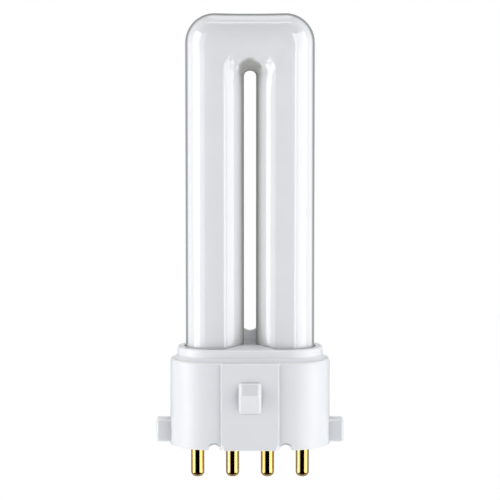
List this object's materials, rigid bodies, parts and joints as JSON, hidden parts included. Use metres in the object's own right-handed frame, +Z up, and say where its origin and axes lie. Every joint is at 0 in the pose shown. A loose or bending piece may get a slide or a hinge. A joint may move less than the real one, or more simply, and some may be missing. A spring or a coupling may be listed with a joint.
{
  "type": "compact fluorescent lamp",
  "caption": "Compact fluorescent lamp: a white squared-U glass tube in a white moulded plug-in base with snap noses, side lugs and a row of gold-coloured contact pins.",
  "frame": {"origin": "middle of the base, on the plane of its lower rim, which seats in the lampholder", "axes": "+Z up along the lamp towards the top of the tube, +X along the row of contact pins, +Y through the thin way of the lamp"},
  "size_m": [0.0376, 0.0224, 0.0924],
  "materials": {
    "phosphor_glass": "clear polished glass over a matt white coat inside",
    "white_plastic": "moulded, satin gloss",
    "plate_plastic": "moulded, satin",
    "gold_contact": "polished, gold coloured",
    "lead_metal": "drawn wire",
    "bedding_cement": "rough, matt"
  },
  "bodies": {
    "root": {"discharge_tube": "phosphor_glass", "base_housing": "white_plastic", "pin_plate": "plate_plastic", "contact_pin_1": "gold_contact", "contact_pin_2": "gold_contact", "contact_pin_3": "gold_contact", "contact_pin_4": "gold_contact", "lead_wire_1": "lead_metal", "lead_wire_2": "lead_metal", "lead_wire_3": "lead_metal", "lead_wire_4": "lead_metal", "tube_cement_left": "bedding_cement", "tube_cement_right": "bedding_cement"}
  },
  "joints": []
}
